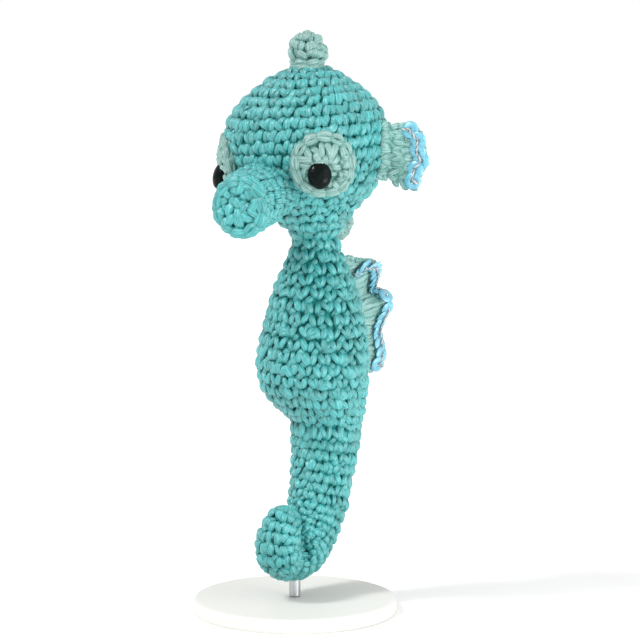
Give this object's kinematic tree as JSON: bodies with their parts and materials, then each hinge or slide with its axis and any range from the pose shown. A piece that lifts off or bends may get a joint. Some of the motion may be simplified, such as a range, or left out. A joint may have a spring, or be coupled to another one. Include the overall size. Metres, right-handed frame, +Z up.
{
  "type": "crocheted toy seahorse",
  "caption": "Stuffed crochet toy seahorse in teal yarn with mint fins and eye patches, sequin trim and a curled tail, held upright by a rod on a round display base.",
  "frame": {"origin": "middle of the underside of the stand's base, straight below the rod", "axes": "+Z up, the toy faces -Y, and +X is the toy's own left side"},
  "size_m": [0.0874, 0.0897, 0.2044],
  "materials": {
    "teal_yarn": "matt plied cotton yarn, worked in single crochet",
    "mint_yarn": "matt plied cotton yarn, worked in crochet",
    "sequins": "thin glossy light blue sequins with a pearly shine, sewn on with grey thread",
    "black_eye": "polished domed safety eye",
    "pale_board": "board with matt pale paint",
    "steel_rod": "drawn steel rod"
  },
  "bodies": {
    "root": {"neck": "teal_yarn", "trunk": "teal_yarn", "tail_root": "teal_yarn", "tail_middle": "teal_yarn", "tail_bend": "teal_yarn", "tail_tip": "teal_yarn", "head": "teal_yarn", "snout": "teal_yarn", "crown_nub": "mint_yarn", "nape_nub": "mint_yarn", "eye_patch_left": "mint_yarn", "eye_patch_right": "mint_yarn", "eye_left": "black_eye", "eye_right": "black_eye", "head_fin_left": "mint_yarn", "head_fin_right": "mint_yarn", "head_fin_sequins_left": "sequins", "head_fin_sequins_right": "sequins", "dorsal_fin": "mint_yarn", "dorsal_fin_sequins": "sequins", "stand_base": "pale_board", "stand_rod": "steel_rod"}
  },
  "joints": []
}
